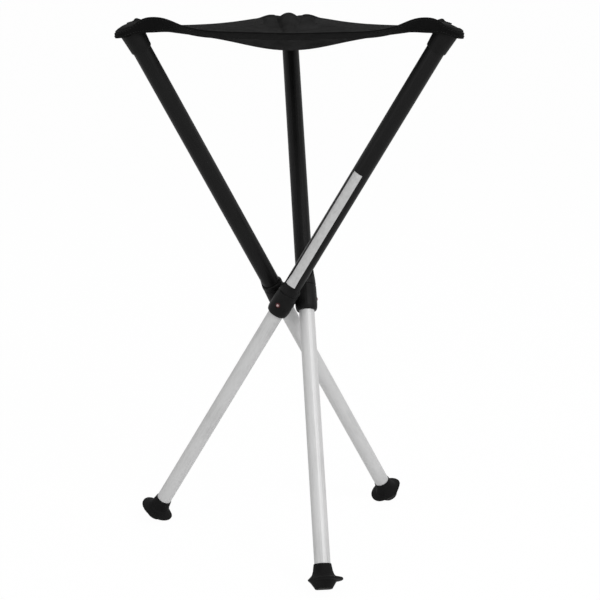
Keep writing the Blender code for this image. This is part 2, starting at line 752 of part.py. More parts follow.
def hem_path(number):
    """Stations (place, inward, heading) along the edge from this corner's left
    side to the next corner's right side."""
    following = number % LEG_COUNT + 1
    first, out_heading = loop_side(number, 1)
    last, back_heading = loop_side(following, -1)
    start = first[-1][0] + out_heading * GAP
    end = last[-1][0] + back_heading * GAP
    chord = (end - start).length
    first_inward = first[-1][1]
    steps = 28
    stations = []
    for step in range(steps + 1):
        t = step / steps
        a = start * (2 * t**3 - 3 * t**2 + 1) + end * (3 * t**2 - 2 * t**3)
        b = out_heading * (t**3 - 2 * t**2 + t) - back_heading * (t**3 - t**2)
        place = a + b * chord
        slope = (end - start) * (6 * t - 6 * t**2)
        slope += (out_heading * (3 * t**2 - 4 * t + 1) - back_heading * (3 * t**2 - 2 * t)) * chord
        slope.z = 0.0
        nearest = min(t, 1.0 - t) * chord
        inward = first_inward + nearest * math.cos(EDGE_TURN)
        place.z = COLLAR_FOOT_HEIGHT + band_rise(inward)
        stations.append((place, inward, slope.normalized()))
    return stations


def hem_mesh(number):
    stations = []
    for place, inward, heading in hem_path(number):
        outside = heading.cross(UP)
        tilt = band_tilt(inward)
        lean = outside * math.cos(tilt) + UP * math.sin(tilt)
        normal = heading.cross(lean).normalized()
        stations.append(band_corners(place, normal, lean, band_half_width(inward)))
    return ribbon(f"seat_hem_{number}", stations)


def mesh_border():
    """The closed outline that the seat mesh fills, inside the three hems."""
    border = []
    for number in range(1, LEG_COUNT + 1):
        for place, inward, heading in hem_path(number):
            if inward < COLLAR_TOP_RADIUS / math.cos(LEG_TILT) + 0.0015:
                continue
            lying = math.cos(band_tilt(inward)) / math.cos(BAND_MIDDLE_TILT)
            inside = UP.cross(heading)
            back = BAND_THICKNESS / 2 + GAP + (BAND_HALF_WIDTH * 0.75) * lying
            drop = BAND_HALF_WIDTH * (0.25 + 0.41 * lying)
            border.append(place + inside * back - UP * drop)
    return border


def seat_mesh():
    border = mesh_border()
    rim = COLLAR_FOOT_HEIGHT + MESH_RIM_RISE
    centre = Vector((0.0, 0.0, rim - MESH_SAG))
    half = UP * (MESH_THICKNESS / 2)
    nearest = min(edge.xy.length for edge in border)
    work = bmesh.new()
    layers = []
    for side in (1, -1):
        loops = []
        for ring in range(1, MESH_RINGS + 1):
            share = ring / MESH_RINGS
            loop = []
            for edge in border:
                place = centre.lerp(edge, share)
                power = MESH_SAG_POWER * (edge.xy.length / nearest) ** 1.2
                sag = MESH_SAG * (1.0 - share * share) ** power
                place.z = rim + (edge.z - rim) * share**MESH_CORNER_POWER - sag
                loop.append(work.verts.new(place + half * side))
            loops.append(loop)
        layers.append((work.verts.new(centre + half * side), loops))
    count = len(border)
    for middle, loops in layers:
        for step in range(count):
            after = (step + 1) % count
            work.faces.new((middle, loops[0][step], loops[0][after]))
            for first, second in zip(loops, loops[1:]):
                work.faces.new((first[step], first[after], second[after], second[step]))
    top, bottom = layers[0][1][-1], layers[1][1][-1]
    for step in range(count):
        after = (step + 1) % count
        work.faces.new((top[step], top[after], bottom[after], bottom[step]))
    return finish_mesh("seat_mesh", work)


def settle(root):
    """Moves everything so that the origin is under the middle of the outline."""
    bpy.context.view_layer.update()
    graph = bpy.context.evaluated_depsgraph_get()
    low = Vector((math.inf,) * 3)
    high = Vector((-math.inf,) * 3)
    for item in bpy.data.objects:
        if item.type != "MESH" or item.hide_render:
            continue
        shape = item.evaluated_get(graph)
        for vertex in shape.data.vertices:
            place = item.matrix_world @ vertex.co
            low = Vector(map(min, low, place))
            high = Vector(map(max, high, place))
    root.location -= Vector(((low.x + high.x) / 2, (low.y + high.y) / 2, low.z))
    bpy.context.view_layer.update()


def main():
    clear_scene()
    materials = make_materials()
    root = new_empty("hub_frame", None, Matrix.Identity(4))
    foot = foot_mesh(hub_height())
    hub = new_object("hub_block", hub_mesh(), root, materials["nylon"])
    for number in range(1, LEG_COUNT + 1):
        turn = Matrix.Rotation(leg_azimuth(number), 4, "Z") @ Matrix.Rotation(-LEG_TILT, 4, "X")
        fold_frame = new_empty(f"fold_frame_{number}", root, turn)
        cut(hub, build_leg(number, root, fold_frame, materials, foot))
        loop = new_object(f"corner_loop_{number}", loop_mesh(number), root, materials["webbing"])
        loop.parent = fold_frame
        loop.matrix_parent_inverse = turn.inverted()
        new_object(f"seat_hem_{number}", hem_mesh(number), root, materials["webbing"])
        if number == LEG_COUNT:
            place = (LEG_OFFSET, 0.0, 0.0)
            new_object("label_plate", label_mesh(), fold_frame, materials["label"], place)
    new_object("seat_mesh", seat_mesh(), root, materials["seat_mesh"])
    settle(root)


main()
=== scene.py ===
"""Looks of the folding tripod stool: finishes, seat cloth, stitching, camera and light.

Metres, +Z up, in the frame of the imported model.
"""

import json
import math

import bmesh
import bpy
import numpy as np
from mathutils import Matrix, Vector


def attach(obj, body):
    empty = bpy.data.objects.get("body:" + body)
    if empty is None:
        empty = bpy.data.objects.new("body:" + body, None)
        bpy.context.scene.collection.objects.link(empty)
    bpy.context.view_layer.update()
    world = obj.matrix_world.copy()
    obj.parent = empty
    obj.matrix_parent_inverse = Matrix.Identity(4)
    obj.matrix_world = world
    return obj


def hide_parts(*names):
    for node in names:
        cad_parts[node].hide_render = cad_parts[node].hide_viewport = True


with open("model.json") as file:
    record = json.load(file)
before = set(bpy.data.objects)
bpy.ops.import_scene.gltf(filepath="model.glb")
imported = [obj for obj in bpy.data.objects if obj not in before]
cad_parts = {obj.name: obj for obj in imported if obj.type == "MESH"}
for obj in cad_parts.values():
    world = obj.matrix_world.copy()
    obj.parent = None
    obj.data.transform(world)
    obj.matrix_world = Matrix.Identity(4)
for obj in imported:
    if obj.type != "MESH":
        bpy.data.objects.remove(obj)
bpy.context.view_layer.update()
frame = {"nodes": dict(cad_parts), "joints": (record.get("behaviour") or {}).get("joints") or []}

# Layout, as in the part
LEGS = (1, 2, 3)
LEG_TILT = math.radians(31.5)
LEG_OFFSET = 0.0240
UPPER_REACH = 0.4170
COLLAR_LENGTH = 0.0280
COLLAR_TOP_RADIUS = 0.0158
GAP = 0.0003
COLLAR_FOOT_HEIGHT = UPPER_REACH * math.cos(LEG_TILT)
HUB = Vector(next(j["pos_m"] for j in frame["joints"] if j["name"] == "fold_1"))
UP = Vector((0.0, 0.0, 1.0))

SHARP_ANGLE = math.radians(60.0)

# Seat edge, a flat sewn band
BAND_HALF_WIDTH = 0.0090
BAND_THICKNESS = 0.0020
BAND_CLEARANCE = 0.0005
BAND_RADIUS = COLLAR_TOP_RADIUS + BAND_CLEARANCE + BAND_THICKNESS / 2
BAND_MIDDLE_TILT = math.radians(28.0)
BAND_CORNER_RISE = 0.0318  # band centre near a corner, above the collar foot
BAND_CORNER_HALF_WIDTH = 0.0099  # the band is pulled wider there
FRONT_EDGE = 2
EDGE_MIDDLE_RISE = {1: 0.0224, 2: 0.0166, 3: 0.0226}
EDGE_SAG = {1: 0.0, 2: 0.0045, 3: 0.0}
# Height of an edge's band near each of its legs, and how far it stays up
EDGE_ENDS = {
    (1, 1): (0.0270, 0.090),
    (1, 2): (0.0300, 0.050),
    (2, 2): (0.0318, 0.036),
    (2, 3): (0.0318, 0.036),
    (3, 3): (0.0300, 0.050),
    (3, 1): (0.0278, 0.090),
}
TIP_LIFT = {1: 0.0, 2: 0.0004, 3: 0.0020}  # upper edge at each leg's outermost point
# Band round a corner: distance inward from the leg's axis, lower and upper edge
CORNER_EDGES = (
    (-0.0250, 0.0142, 0.0226),
    (-0.0180, 0.0158, 0.0246),
    (-0.0110, 0.0184, 0.0268),
    (-0.0050, 0.0198, 0.0315),
    (0.0000, 0.0206, 0.0358),
    (0.0040, 0.0212, 0.0386),
    (0.0080, 0.0216, 0.0403),
    (0.0120, 0.0219, 0.0413),
    (0.0180, 0.0219, 0.0417),
    (0.0230, 0.0219, 0.0417),
)
CORNER_BLEND = 0.0020  # these are evened out over this much to each side
SETTLE_START = 0.010  # outward of the leg, where the edge's own height comes in
SETTLE_LENGTH = 0.024
BAND_LIP_REACH = 0.0032  # the band goes round the lip this much further out
BAND_LIP_SPREAD = 0.0140  # how far inward from the tip the folds there run out
BAND_TIP_CURL = 0.0022  # upper edge bends in over the cap
BAND_FOLD_DEPTH = 0.00045
BAND_FOLDS = 3
FAR_LEG = 1
SLACK_DROP = 0.0065  # upper edge of the slacker band at the two near legs
SLACK_START = 0.012  # outward of the leg
SLACK_RISE = 0.012
SLACK_END = 0.010  # inward of the leg
SLACK_FALL = 0.013
TIP_START = 0.0240
TIP_LENGTH = 0.0220
BAND_FALL_START = 0.0230  # inward of the leg, where the band starts to come down
FRONT_TILT_START = 0.0060
BACK_TILT_START = -0.0020
BAND_TILT_LENGTH = 0.0520
EDGE_HALF_LENGTH = 0.1784
EDGE_TURN = math.radians(21.8)  # band direction at a corner, off the inward line
LOOP_STRAIGHT = 0.0110
LOOP_REFERENCE_RISE = 0.0250
LOOP_STEPS = 26
LOOP_END_STEPS = 6
HEM_STEPS = 96
HEM_CHANGE_START = 0.4  # where an edge's shape changes from one leg's to the other's
HEM_CHANGE_LENGTH = 0.2

# Section of the band
EDGE_ROUNDING = 0.0007
SEAM_INSET = 0.0026  # stitch line to the band's edge
SEAM_WIDTH = 0.0008
SEAM_DEPTH = 0.0003

# Stitches
STITCH_PITCH = 0.0036
STITCH_LENGTH = 0.0025
STITCH_WIDTH = 0.0006
STITCH_SIDES = 6
STITCH_RINGS = ((-0.5, 0.0), (-0.36, 0.8), (0.0, 1.0), (0.36, 0.8), (0.5, 0.0))

# Seat mesh
MESH_THICKNESS = 0.0012
MESH_RIM_RISE = 0.0130
MESH_SAG = 0.0187
MESH_SAG_POWER = 2.9
MESH_SAG_SPREAD = 1.2
MESH_CORNER_POWER = 3.0
MESH_CORNER_LIFT = 0.0078  # above the band's middle, where the band stands upright
# Crest of the mesh near each leg, and how far it comes down from there to the cap
MESH_CORNER_ARCH = {1: 0.0195, 2: 0.0080, 3: 0.0080}
MESH_CORNER_DROP = {1: 0.0205, 2: 0.0110, 3: 0.0110}
MESH_CORNER_HUG = math.radians(68.0)  # how far round the leg it goes, to each side
MESH_CORNER_POINT = 0.7  # larger makes the crest more pointed
MESH_DROP_START = 0.86
MESH_LAP_START = 0.0250  # where the mesh goes from one edge of the band to the other
MESH_LAP_LENGTH = 0.0420
MESH_CORNER_STEPS = 16
MESH_LAP = 0.0078  # below the band's middle, where the band lies over
MESH_LEG_CLEARANCE = 0.0022
MESH_CLEARANCE = 0.0004  # its edge is sewn into the band, this far from the middle
MESH_RINGS = 30

# Cap on each leg
CAP_FOOT = UPPER_REACH + COLLAR_LENGTH
CAP_RISE = 0.0115  # collar top to cap top
CAP_RADIUS = 0.0155
CAP_SLOPE = 0.0055  # the top is this much lower on its inner side
CAP_LIP = 0.0045  # how much further the lip reaches on the outer side
CAP_LIP_DROOP = 0.0042  # and how much lower it lies there
CAP_LIP_DEPTH = 0.0061
CAP_LIP_POWER = 4  # larger keeps the lip nearer the outermost point
CAP_RIDGES = 3
CAP_RIDGE_HEIGHT = 0.00045
CAP_NECK_INSET = 0.0009
CAP_SPIGOT_RADIUS = 0.0110
CAP_DOME = (0.12, 0.3, 0.5, 0.65)  # rings of the dome, to the cap's radius
CAP_SHOULDER = ((0.76, 0.10), (0.86, 0.20), (0.93, 0.34), (0.97, 0.52))
CAP_STEPS = 72

# Camera, in a frame turned about the upright through the hub
CAMERA_TURN = math.radians(-6.0076)
CAMERA_BACK = 1.9830
CAMERA_ABOVE_HUB = 0.4444
CAMERA_PITCH = 0.2206
CAMERA_YAW = 0.0077
CAMERA_ROLL = 0.0017
CAMERA_LENS = 85.9
CAMERA_SENSOR = 36.0

# Studio
WHITE = (1.0, 1.0, 1.0, 1.0)
FILL = 0.55  # even light from all round
FLOOR_SIZE = 240.0
FLOOR_GLOW = 0.975  # share of the floor's white that needs no light
LAMP_TARGET = (0.0, 0.0, 0.4)
LAMPS = (
    ("key_lamp", (1.6, -2.4, 2.6), 1.6, 70.0),
    ("side_lamp", (-2.4, -1.6, 1.2), 1.6, 10.0),
    ("back_lamp", (0.3, 2.4, 2.4), 1.6, 8.0),
)


def smooth(value):
    value = min(1.0, max(0.0, value))
    return value * value * (3.0 - 2.0 * value)


# Seat outline, in the hub's frame


def leg_azimuth(number):
    return 2.0 * math.pi * (number - 1) / len(LEGS)


def leg_axis_at(number, height):
    turn = Matrix.Rotation(leg_azimuth(number), 3, "Z")
    return turn @ Vector((LEG_OFFSET, height * math.tan(LEG_TILT), height))


def next_leg(number):
    return number % len(LEGS) + 1


def levelled(vector):
    return Vector((vector.x, vector.y, 0.0)).normalized()


def corner_frame(number):
    """(outward, sideways) unit vectors of a seat corner."""
    outward = levelled(leg_axis_at(number, COLLAR_FOOT_HEIGHT + LOOP_REFERENCE_RISE))
    return outward, UP.cross(outward)


def band_shape(edge, leg, inward):
    """Height of a band's centre above the collar foot, half its width, and its tilt
    off the level, by the edge, the nearer leg and the distance inward from it."""
    corner_rise, fall_length = EDGE_ENDS[edge, leg]
    if inward < BAND_FALL_START:
        places, *edges = zip(*CORNER_EDGES)
        shifts = (-CORNER_BLEND, 0.0, CORNER_BLEND)
        lower, upper = (
            sum(np.interp(inward + shift, places, heights) for shift in shifts) / 3
            for heights in edges
        )
        upper += TIP_LIFT[leg] * (1.0 - smooth((inward + TIP_START) / TIP_LENGTH))
        settle = smooth((inward + SETTLE_START) / SETTLE_LENGTH)
        if edge != FRONT_EDGE and leg != FAR_LEG:
            slack = smooth((inward + SLACK_START) / SLACK_RISE)
            upper -= SLACK_DROP * (slack * (1.0 - smooth((inward - SLACK_END) / SLACK_FALL)))
        rise = (lower + upper) / 2 - (BAND_CORNER_RISE - corner_rise) * settle
        half_width = (upper - lower) / 2
    else:
        fall = math.exp(-(((inward - BAND_FALL_START) / fall_length) ** 2))
        level = EDGE_MIDDLE_RISE[edge] + EDGE_SAG[edge] * (1.0 - inward / EDGE_HALF_LENGTH)
        rise = level + (corner_rise - level) * fall
        half_width = BAND_HALF_WIDTH + (BAND_CORNER_HALF_WIDTH - BAND_HALF_WIDTH) * fall
    tilt_start = FRONT_TILT_START if edge == FRONT_EDGE else BACK_TILT_START
    share = smooth((inward - tilt_start) / BAND_TILT_LENGTH)
    tilt = math.pi / 2 + (BAND_MIDDLE_TILT - math.pi / 2) * share
    return float(rise), float(half_width), tilt


def edge_beside(number, side):
    """The seat edge that starts (side 1) or ends (side -1) at a leg."""
    return number if side == 1 else (number - 2) % len(LEGS) + 1


def band_lean(heading, tilt):
    return heading.cross(UP) * math.cos(tilt) + UP * math.sin(tilt)


def loop_side(number, side):
    """Stations (place, inward, half width, tilt) from a corner's outermost point to
    the end of its loop, where side is 1 for the left edge and -1 for the right one."""
    outward, sideways = corner_frame(number)
    edge = edge_beside(number, side)
    last = math.atan(math.cos(LEG_TILT) / math.tan(EDGE_TURN))
    stations = []
    for step in range(LOOP_STEPS + 1):
        angle = last * step / LOOP_STEPS
        radius = BAND_RADIUS + BAND_LIP_REACH * (1.0 - (step / LOOP_STEPS) ** 2) ** 2
        inward = -radius / math.cos(LEG_TILT) * math.cos(angle)
        rise, half_width, tilt = band_shape(edge, number, inward)
        centre = leg_axis_at(number, COLLAR_FOOT_HEIGHT + rise)
        across = side * radius * math.sin(angle)
        stations.append((centre - outward * inward + sideways * across, inward, half_width, tilt))
    start, first_inward = stations[-1][:2]
    heading = -outward * math.cos(EDGE_TURN) + sideways * (side * math.sin(EDGE_TURN))
    for step in range(1, LOOP_END_STEPS + 1):
        along = LOOP_STRAIGHT * step / LOOP_END_STEPS
        inward = first_inward + along * math.cos(EDGE_TURN)
        rise, half_width, tilt = band_shape(edge, number, inward)
        place = start + heading * along
        place.z = COLLAR_FOOT_HEIGHT + rise
        stations.append((place, inward, half_width, tilt))
    return stations, heading


def loop_stations(number):
    """(place, normal, lean, half width, tip) round a corner. The normal faces out,
    lean runs from the band's lower edge to its upper one, and tip is 1 at the
    outermost point."""
    right, _ = loop_side(number, -1)
    left, _ = loop_side(number, 1)
    path = right[:0:-1] + left
    tip = path[len(right) - 1][1]
    stations = []
    for index, (place, inward, half_width, tilt) in enumerate(path):
        before = path[max(index - 1, 0)][0]
        after = path[min(index + 1, len(path) - 1)][0]
        heading = levelled(after - before)
        lean = band_lean(heading, tilt)
        share = 1.0 - smooth((inward - tip) / BAND_LIP_SPREAD)
        stations.append((place, heading.cross(lean).normalized(), lean, half_width, share))
    return stations


def hem_stations(number):
    """The same along an edge, corner to corner, with the distance inward last."""
    following = next_leg(number)
    first, out_heading = loop_side(number, 1)
    last, back_heading = loop_side(following, -1)
    start = first[-1][0] + out_heading * GAP
    end = last[-1][0] + back_heading * GAP
    chord = (end - start).length
    first_inward = first[-1][1]
    stations = []
    for step in range(HEM_STEPS + 1):
        t = step / HEM_STEPS
        place = start * (2 * t**3 - 3 * t**2 + 1) + end * (3 * t**2 - 2 * t**3)
        place += (out_heading * (t**3 - 2 * t**2 + t) - back_heading * (t**3 - t**2)) * chord
        bend = out_heading * (3 * t**2 - 4 * t + 1) - back_heading * (3 * t**2 - 2 * t)
        heading = levelled((end - start) * (6 * t - 6 * t**2) + bend * chord)
        along = chord * math.cos(EDGE_TURN)
        shapes = []
        for leg, share in ((number, t), (following, 1.0 - t)):
            shapes.append(band_shape(number, leg, first_inward + min(share, 0.5) * along))
        other = smooth((t - HEM_CHANGE_START) / HEM_CHANGE_LENGTH)
        rise, half_width, tilt = (near + (far - near) * other for near, far in zip(*shapes))
        place.z = COLLAR_FOOT_HEIGHT + rise
        lean = band_lean(heading, tilt)
        inward = first_inward + min(t, 1.0 - t) * along
        stations.append((place, heading.cross(lean).normalized(), lean, half_width, 0.0, inward))
    return stations


# Meshes


def mesh_object(name, work, material):
    """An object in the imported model's frame, from a bmesh in the hub's frame."""
    bmesh.ops.recalc_face_normals(work, faces=work.faces)
    mesh = bpy.data.meshes.new(name)
    work.to_mesh(mesh)
    work.free()
    mesh.transform(Matrix.Translation(HUB))
    mesh.shade_smooth()
    mesh.set_sharp_from_angle(angle=SHARP_ANGLE)
    mesh.materials.append(material)
    item = bpy.data.objects.new(name, mesh)
    bpy.context.scene.collection.objects.link(item)
    return item


def join_rings(work, rings):
    for first, second in zip(rings, rings[1:]):
        for step in range(len(first)):
            after = (step + 1) % len(first)
            work.faces.new((first[step], first[after], second[after], second[step]))


def tip_shift(across, half_width, tip):
    """How far the band is moved out by its folds and its curl at a corner's tip."""
    share = across / half_width
    folds = BAND_FOLD_DEPTH * math.sin(math.pi * BAND_FOLDS * share)
    return tip * (folds - BAND_TIP_CURL * max(0.0, share) ** 2)


def band_section(half_width, tip=0.0):
    """Points (across, out) round the band, with a groove under each stitch line."""
    half = BAND_THICKNESS / 2
    rounding = min(EDGE_ROUNDING, half_width * 0.3)
    seam = half_width - min(SEAM_INSET, half_width * 0.4)
    groove = min(SEAM_WIDTH, half_width * 0.2)
    side = [
        (half_width, half * 0.35),
        (half_width - rounding * 0.3, half * 0.78),
        (half_width - rounding, half),
        (seam + groove, half),
        (seam + groove * 0.4, half - SEAM_DEPTH * 0.8),
        (seam - groove * 0.4, half - SEAM_DEPTH * 0.8),
        (seam - groove, half),
        (seam * 0.66, half),
        (seam * 0.42, half),
        (seam * 0.21, half),
    ]
    front = side + [(0.0, half)] + [(-across, out) for across, out in side[::-1]]
    section = front + [(across, -out) for across, out in front[::-1]]
    return [(across, out + tip_shift(across, half_width, tip)) for across, out in section]


def station_points(station):
    place, normal, lean, half_width, tip = station[:5]
    return [place + lean * across + normal * out for across, out in band_section(half_width, tip)]


def band_mesh(name, stations, material):
    """A closed band along stations, with its length and width in a UV map."""
    work = bmesh.new()
    uv = work.loops.layers.uv.new("cloth")
    rings, places = [], {}
    section = band_section(BAND_HALF_WIDTH)
    run = 0.0
    for before, station in zip([stations[0]] + stations, stations):
        run += (station[0] - before[0]).length
        ring = [work.verts.new(point) for point in station_points(station)]
        places.update((vert, (run, across)) for vert, (across, _) in zip(ring, section))
        rings.append(ring)
    join_rings(work, rings)
    for face in work.faces:
        for loop in face.loops:
            loop[uv].uv = places[loop.vert]
    work.faces.new(rings[0])
    work.faces.new(rings[-1])
    return mesh_object(name, work, material)


def stitch_marks(stations):
    """Where the stitches sit: the station before each, and the share to the next."""
    marks = []
    run, due = 0.0, STITCH_PITCH / 2
    for index, (first, second) in enumerate(zip(stations, stations[1:])):
        length = (second[0] - first[0]).length
        while due <= run + length:
            marks.append((index, (due - run) / length))
            due += STITCH_PITCH
        run += length
    return marks


def stitch_points(stations, marks, sides):
    """The points of each stitch, a small spindle: tip, three rings, tip."""
    spindles = []
    for index, share in marks:
        first, second = stations[index], stations[index + 1]
        place = first[0].lerp(second[0], share)
        normal = first[1].lerp(second[1], share).normalized()
        lean = first[2].lerp(second[2], share).normalized()
        half_width = first[3] + (second[3] - first[3]) * share
        tip = first[4] + (second[4] - first[4]) * share
        along = normal.cross(lean)
        inset = min(SEAM_INSET, half_width * 0.4)
        for edge in (1, -1):
            across = edge * (half_width - inset)
            for face in sides:
                out = face * (BAND_THICKNESS / 2 - SEAM_DEPTH * 0.5)
                out += tip_shift(across, half_width, tip)
                centre = place + lean * across + normal * out
                points = []
                for reach, wide in STITCH_RINGS:
                    middle = centre + along * (reach * STITCH_LENGTH)
                    for step in range(STITCH_SIDES if wide else 1):
                        angle = 2.0 * math.pi * step / STITCH_SIDES
                        off = lean * math.cos(angle) + normal * math.sin(angle)
                        points.append(middle + off * (STITCH_WIDTH / 2 * wide))
                spindles.append(points)
    return spindles


def stitch_rows(name, stations, material, sides=(1, -1)):
    """Short stitches along both edges of a band, on the given faces of it."""
    work = bmesh.new()
    for points in stitch_points(stations, stitch_marks(stations), sides):
        verts = [work.verts.new(point) for point in points]
        starts = range(1, len(verts) - 1, STITCH_SIDES)
        rings = [verts[start : start + STITCH_SIDES] for start in starts]
        join_rings(work, rings)
        for step in range(STITCH_SIDES):
            after = (step + 1) % STITCH_SIDES
            work.faces.new((verts[0], rings[0][after], rings[0][step]))
            work.faces.new((rings[-1][step], rings[-1][after], verts[-1]))
    return mesh_object(name, work, material)


def mesh_border():
    """The closed outline that the seat mesh fills, sewn into the inner faces of the
    hems and round the inner side of each leg, as rows of (place, drop)."""
    sides = []
    for number in LEGS:
        side = []
        for place, normal, lean, _, _, inward in hem_stations(number):
            lying = smooth((inward - MESH_LAP_START) / MESH_LAP_LENGTH)
            across = MESH_CORNER_LIFT * (1.0 - lying) - MESH_LAP * lying
            side.append((place + lean * across - normal * MESH_CLEARANCE, 0.0))
        sides.append(side)
    border = []
    for number, side in zip(LEGS, sides):
        following = next_leg(number)
        outward, sideways = corner_frame(following)
        start, end = side[-1][0], sides[following - 1][0][0]
        border += side
        for step in range(1, MESH_CORNER_STEPS):
            share = step / MESH_CORNER_STEPS
            angle = 2.0 * MESH_CORNER_HUG * (share - 0.5)
            crest = math.cos(math.pi * (share - 0.5)) ** MESH_CORNER_POINT
            height = start.z + (end.z - start.z) * share + MESH_CORNER_ARCH[following] * crest
            drop = MESH_CORNER_DROP[following] * crest
            radius = COLLAR_TOP_RADIUS + MESH_LEG_CLEARANCE
            across = sideways * (radius * math.sin(angle))
            inward = outward * (radius / math.cos(LEG_TILT) * math.cos(angle))
            place = leg_axis_at(following, height - drop) + (across - inward)
            place.z = height
            border.append((place, drop))
    return border


def seat_place(row, share, nearest):
    """A point of the seat mesh, share of the way from its centre to its edge."""
    edge, drop = row
    rim = COLLAR_FOOT_HEIGHT + MESH_RIM_RISE
    centre = Vector((0.0, 0.0, rim))
    place = centre.lerp(edge, share)
    power = MESH_SAG_POWER * (edge.xy.length / nearest) ** MESH_SAG_SPREAD
    sag = MESH_SAG * (1.0 - share * share) ** power
    place.z = rim + (edge.z - rim) * share**MESH_CORNER_POWER - sag
    place.z -= drop * smooth((share - MESH_DROP_START) / (1.0 - MESH_DROP_START))
    return place


def seat_rings(border, shares):
    """Rows of points of the seat mesh, from its centre out, as an array."""
    nearest = min(row[0].xy.length for row in border)
    return np.array([[seat_place(row, share, nearest) for row in border] for share in shares])


def sheet_points(border):
    """The sheet's points in the order of its mesh: upper face, then lower face."""
    rings = seat_rings(border, [ring / MESH_RINGS for ring in range(1, MESH_RINGS + 1)])
    centre = seat_rings(border, (0.0,))[0, 0]
    points = []
    for side in (1, -1):
        off = np.array(UP) * (side * MESH_THICKNESS / 2)
        points += [[centre + off], (rings + off).reshape(-1, 3)]
    return np.concatenate(points)


def seat_sheet(name, material):
    border = mesh_border()
    count = len(border)
    work = bmesh.new()
    uv = work.loops.layers.uv.new("cloth")
    verts = [work.verts.new(point) for point in sheet_points(border)]
    size = 1 + MESH_RINGS * count
    outer = []
    for first in (0, size):
        loops = [verts[start : start + count] for start in range(first + 1, first + size, count)]
        for step in range(count):
            work.faces.new((verts[first], loops[0][step], loops[0][(step + 1) % count]))
        join_rings(work, loops)
        outer.append(loops[-1])
    join_rings(work, outer)
    for face in work.faces:
        for loop in face.loops:
            loop[uv].uv = loop.vert.co.xy
    return mesh_object(name, work, material)


# Nodes


def node(tree, kind, inputs=None, **settings):
    item = tree.nodes.new("ShaderNode" + kind)
    for key, value in settings.items():
        setattr(item, key, value)
    for key, value in (inputs or {}).items():
        if isinstance(value, bpy.types.NodeSocket):
            tree.links.new(value, item.inputs[key])
        else:
            item.inputs[key].default_value = value
    return item


def combined(tree, operation, first, second):
    return node(tree, "Math", {0: first, 1: second}, operation=operation).outputs["Value"]


# Leg caps


def cap_lobe(angle):
    """One on the side of a leg top that faces away from the seat."""
    return max(0.0, math.sin(angle)) ** CAP_LIP_POWER


def leg_cap(name, number, material):
    """The domed cap, with its ridged lip, in place on its leg."""
    base = CAP_FOOT + GAP
    top = CAP_FOOT + CAP_RISE
    neck = CAP_RADIUS - CAP_NECK_INSET
    neck_out = COLLAR_TOP_RADIUS - GAP - neck
    lip, droop, depth = CAP_LIP, CAP_LIP_DROOP, CAP_LIP_DEPTH
    rings = [(CAP_RADIUS * share, top - depth * 0.12 * share**2.6, 0.0, 0.0) for share in CAP_DOME]
    for share, fall in CAP_SHOULDER:
        rings.append((CAP_RADIUS * share, top - depth * fall, lip * fall, -droop * fall**2))
    for ridge in range(CAP_RIDGES):
        along = 0.62 + 0.34 * ridge / CAP_RIDGES
        for out, shift in ((0.0, 0.0), (CAP_RIDGE_HEIGHT, 0.035), (CAP_RIDGE_HEIGHT, 0.07)):
            share = along + shift
            radius = CAP_RADIUS * 0.985 + 0.0002 * share
            more = lip * (0.72 + 0.28 * share) + out
            rings.append((radius, top - depth * share, more, -droop * share**1.5))
    rings += [
        (CAP_RADIUS - 0.0003, top - depth * 0.985, lip, -droop),
        (neck, top - depth, neck_out, -droop),
        (neck, base, neck_out, 0.0),
        (CAP_SPIGOT_RADIUS, base, 0.0, 0.0),
    ]
    turn = Matrix.Rotation(leg_azimuth(number), 4, "Z") @ Matrix.Rotation(-LEG_TILT, 4, "X")
    work = bmesh.new()
    loops = []
    for radius, height, more_radius, more_height in rings:
        loop = []
        for step in range(CAP_STEPS):
            angle = 2.0 * math.pi * step / CAP_STEPS
            share = cap_lobe(angle)
            r = radius + share * more_radius
            z = height + share * more_height
            if height > base:
                z -= CAP_SLOPE * max(0.0, 1.0 - r * math.sin(angle) / CAP_RADIUS) / 2
            place = Vector((LEG_OFFSET + r * math.cos(angle), r * math.sin(angle), z))
            loop.append(work.verts.new(turn @ place))
        loops.append(loop)
    join_rings(work, loops)
    work.faces.new(loops[0])
    work.faces.new(loops[-1])
    return mesh_object(name, work, material)


# Materials


def new_material(name, roughness=0.5, metallic=0.0, specular=0.5):
    material = bpy.data.materials.new(name)
    material.use_nodes = True
    tree = material.node_tree
    shader = tree.nodes["Principled BSDF"]
    shader.inputs["Roughness"].default_value = roughness
    shader.inputs["Metallic"].default_value = metallic
    shader.inputs["Specular IOR Level"].default_value = specular
    return material, tree, shader


def place_of(tree):
    return node(tree, "TexCoord").outputs["Object"]


def noise(tree, vector, scale, detail=4.0, roughness=0.55):
    inputs = {"Vector": vector, "Scale": scale, "Detail": detail, "Roughness": roughness}
    return node(tree, "TexNoise", inputs).outputs["Fac"]


def waves(tree, vector, direction, scale, distortion, detail_scale=1.0):
    inputs = {
        "Vector": vector,
        "Scale": scale,
        "Distortion": distortion,
        "Detail": 1.0,
        "Detail Scale": detail_scale,
    }
    return node(tree, "TexWave", inputs, bands_direction=direction).outputs["Fac"]


def ramp(tree, value, low, high, low_colour, high_colour):
    """Colour between two, as value goes from low to high."""
    item = node(tree, "ValToRGB", {"Fac": value})
    first, last = item.color_ramp.elements
    first.position, last.position = low, high
    first.color = (*low_colour, 1.0)
    last.color = (*high_colour, 1.0)
    return item.outputs["Color"]


def paint(tree, shader, value, low, high, dark, light):
    colour = ramp(tree, value, low, high, dark, light)
    tree.links.new(colour, shader.inputs["Base Color"])


def remap(tree, value, low, high, to_low, to_high):
    span = {"From Min": low, "From Max": high, "To Min": to_low, "To Max": to_high}
    inputs = {"Value": value, **span}
    return node(tree, "MapRange", inputs).outputs["Result"]


def bump(tree, shader, height, distance, strength=1.0):
    item = node(tree, "Bump", {"Height": height, "Distance": distance, "Strength": strength})
    tree.links.new(item.outputs["Normal"], shader.inputs["Normal"])


def grey(level):
    return (level, level, level)


